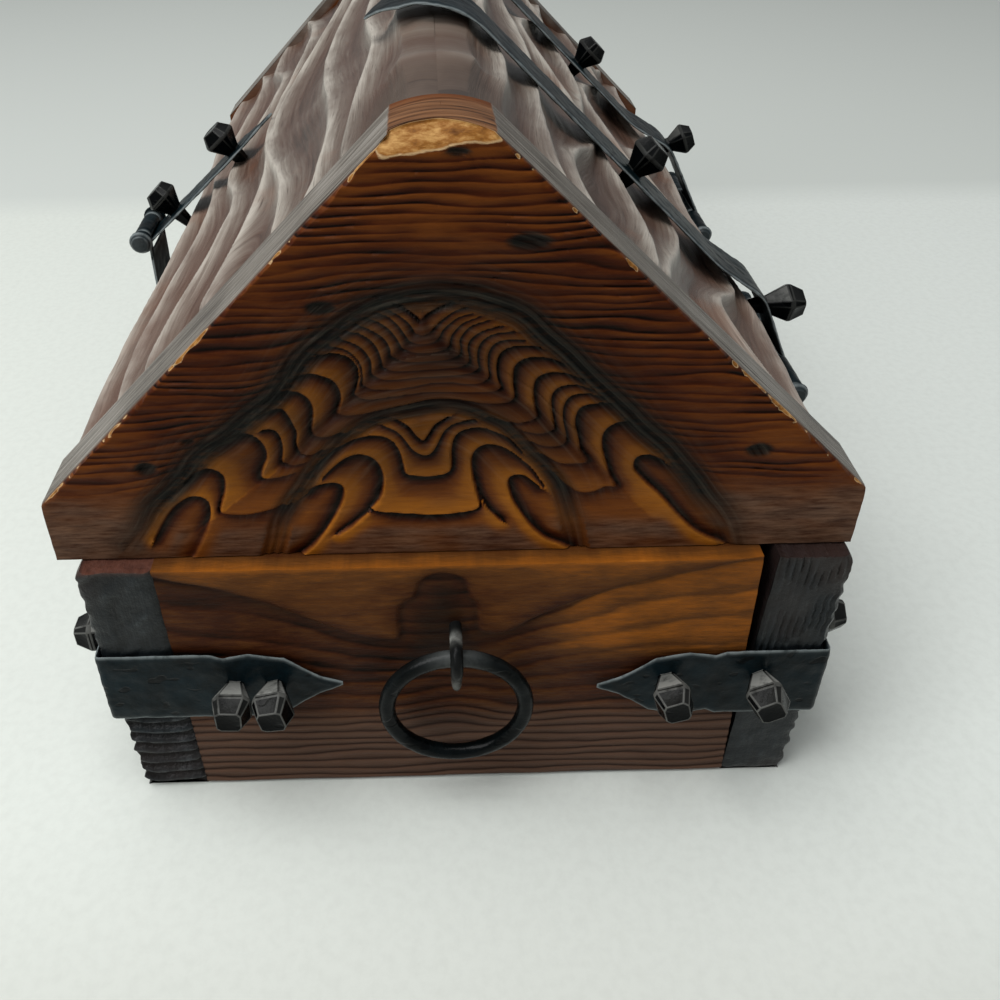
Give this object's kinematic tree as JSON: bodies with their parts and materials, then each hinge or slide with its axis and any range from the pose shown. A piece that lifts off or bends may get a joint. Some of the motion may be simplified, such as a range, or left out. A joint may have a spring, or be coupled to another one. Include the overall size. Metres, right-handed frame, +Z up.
{
  "type": "treasure chest",
  "caption": "Rustic plank chest with a steep carved roof lid on T-hinges, a front hasp and staple, forged corner straps, square-headed nails and a hanging ring on each end.",
  "frame": {"origin": "middle of the underside, on the table", "axes": "+X along the chest towards the end in the picture, -Y out of the hasp side, +Z up"},
  "size_m": [0.3674, 0.2302, 0.1938],
  "materials": {
    "charred_wood": "charred black, brushed along the grain",
    "burnt_wood": "scorched and brushed chestnut brown, satin",
    "carved_wood": "weathered taupe grey with brown hollows, satin",
    "plain_wood": "plain sawn, matt",
    "strap_iron": "hammered blue-black, satin with worn edges",
    "nail_iron": "forged black, glossy facets"
  },
  "bodies": {
    "base": {"front_plank": "charred_wood", "back_plank": "charred_wood", "right_end_board": "burnt_wood", "left_end_board": "burnt_wood", "bottom_board": "plain_wood", "right_hinge_leaf": "strap_iron", "left_hinge_leaf": "strap_iron", "right_hinge_pin": "strap_iron", "left_hinge_pin": "strap_iron", "hinge_leaf_nails": "nail_iron", "hasp_staple": "strap_iron", "front_right_corner_strap": "strap_iron", "front_left_corner_strap": "strap_iron", "back_right_corner_strap": "strap_iron", "back_left_corner_strap": "strap_iron", "front_right_corner_nails": "nail_iron", "front_left_corner_nails": "nail_iron", "back_right_corner_nails": "nail_iron", "back_left_corner_nails": "nail_iron", "right_ring_hook": "strap_iron", "left_ring_hook": "strap_iron"},
    "lid": {"right_gable_board": "burnt_wood", "left_gable_board": "burnt_wood", "front_roof_plank": "carved_wood", "back_roof_plank": "carved_wood", "right_hinge_strap": "strap_iron", "left_hinge_strap": "strap_iron", "hinge_strap_nails": "nail_iron", "hasp_strap": "strap_iron", "hasp_strap_nails": "nail_iron", "hasp_pin": "strap_iron"},
    "hasp": {"hasp_plate": "strap_iron"},
    "right_ring": {"right_ring": "strap_iron"},
    "left_ring": {"left_ring": "strap_iron"}
  },
  "joints": [
    {"name": "lid_hinge", "type": "hinge", "parent": "base", "child": "lid", "pos_m": [0, 0.105, 0.084], "axis": [-1, 0, 0], "range_deg": [0, 105]},
    {"name": "hasp_swing", "type": "hinge", "parent": "lid", "child": "hasp", "pos_m": [0, -0.1108, 0.1031], "axis": [-1, 0, 0], "range_deg": [-13, 150]},
    {"name": "right_ring_swing", "type": "hinge", "parent": "base", "child": "right_ring", "pos_m": [0.176, -0.0029, 0.0583], "axis": [0, -1, 0], "range_deg": [-5.5, 160]},
    {"name": "left_ring_swing", "type": "hinge", "parent": "base", "child": "left_ring", "pos_m": [-0.176, -0.0029, 0.0583], "axis": [0, 1, 0], "range_deg": [-5.5, 160]}
  ]
}
